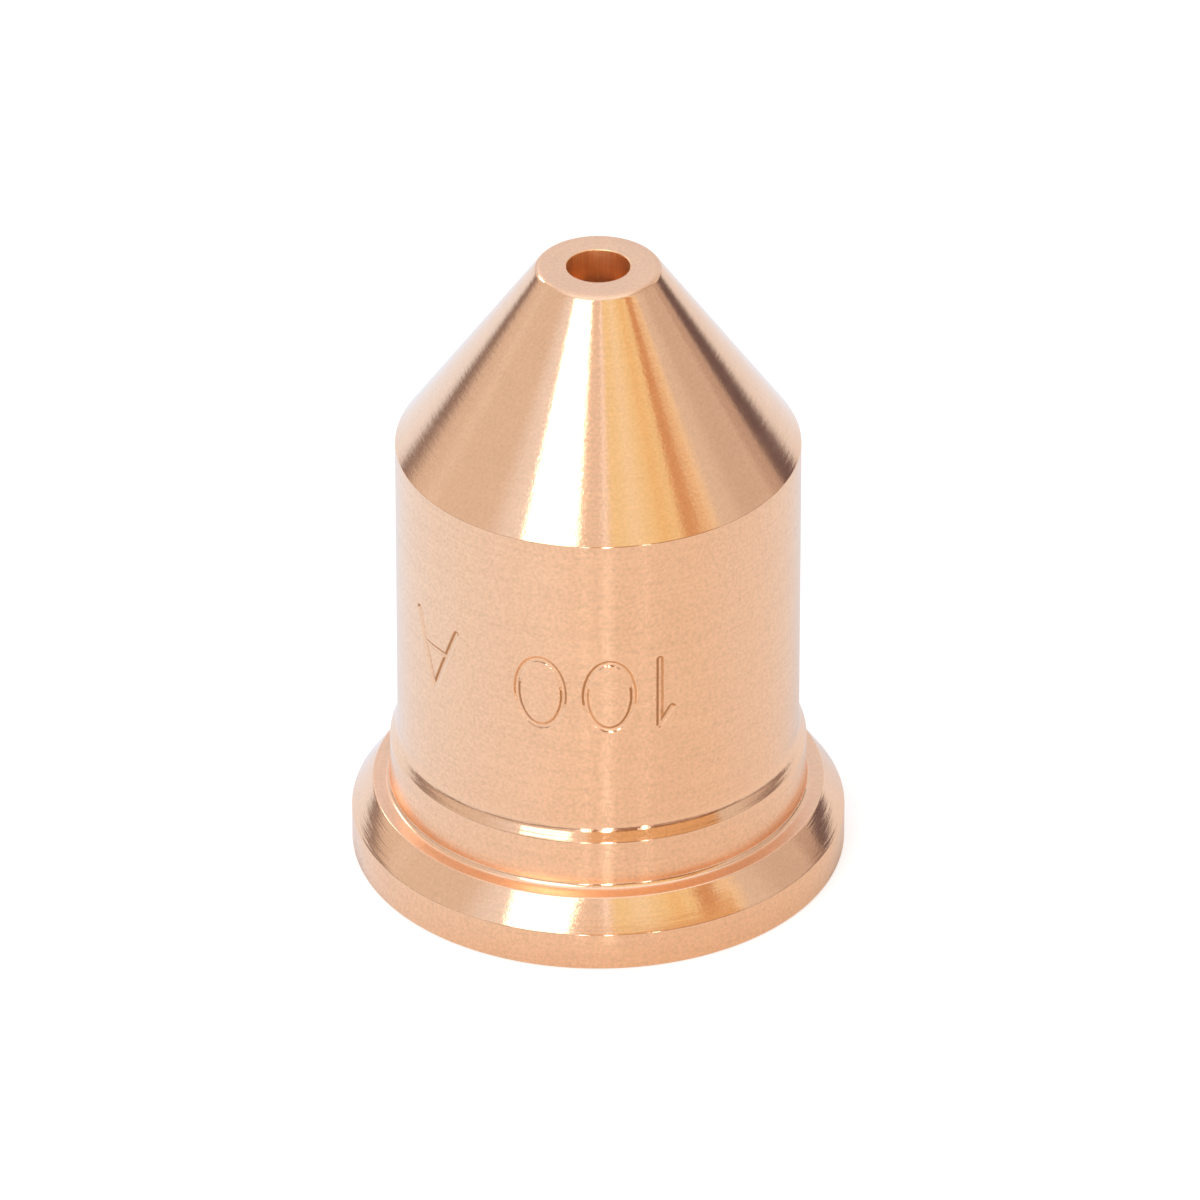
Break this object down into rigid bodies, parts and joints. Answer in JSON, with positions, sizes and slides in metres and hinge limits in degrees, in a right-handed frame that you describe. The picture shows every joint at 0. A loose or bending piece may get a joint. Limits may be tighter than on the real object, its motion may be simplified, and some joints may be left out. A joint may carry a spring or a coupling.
{
  "type": "plasma torch nozzle",
  "caption": "Turned nozzle with a cone ending in a small flat tip with an orifice, a plain round body, a low collar and a chamfered rear flange, bored out from the rear.",
  "frame": {"origin": "centre of the rear face of the flange, which the nozzle stands on", "axes": "+Z along the axis of the nozzle, from the rear face to the tip; +X and +Y square to it"},
  "size_m": [0.0198, 0.0198, 0.0264],
  "materials": {
    "copper": "fine turned copper, unplated"
  },
  "bodies": {
    "root": {"nozzle": "copper"}
  },
  "joints": []
}
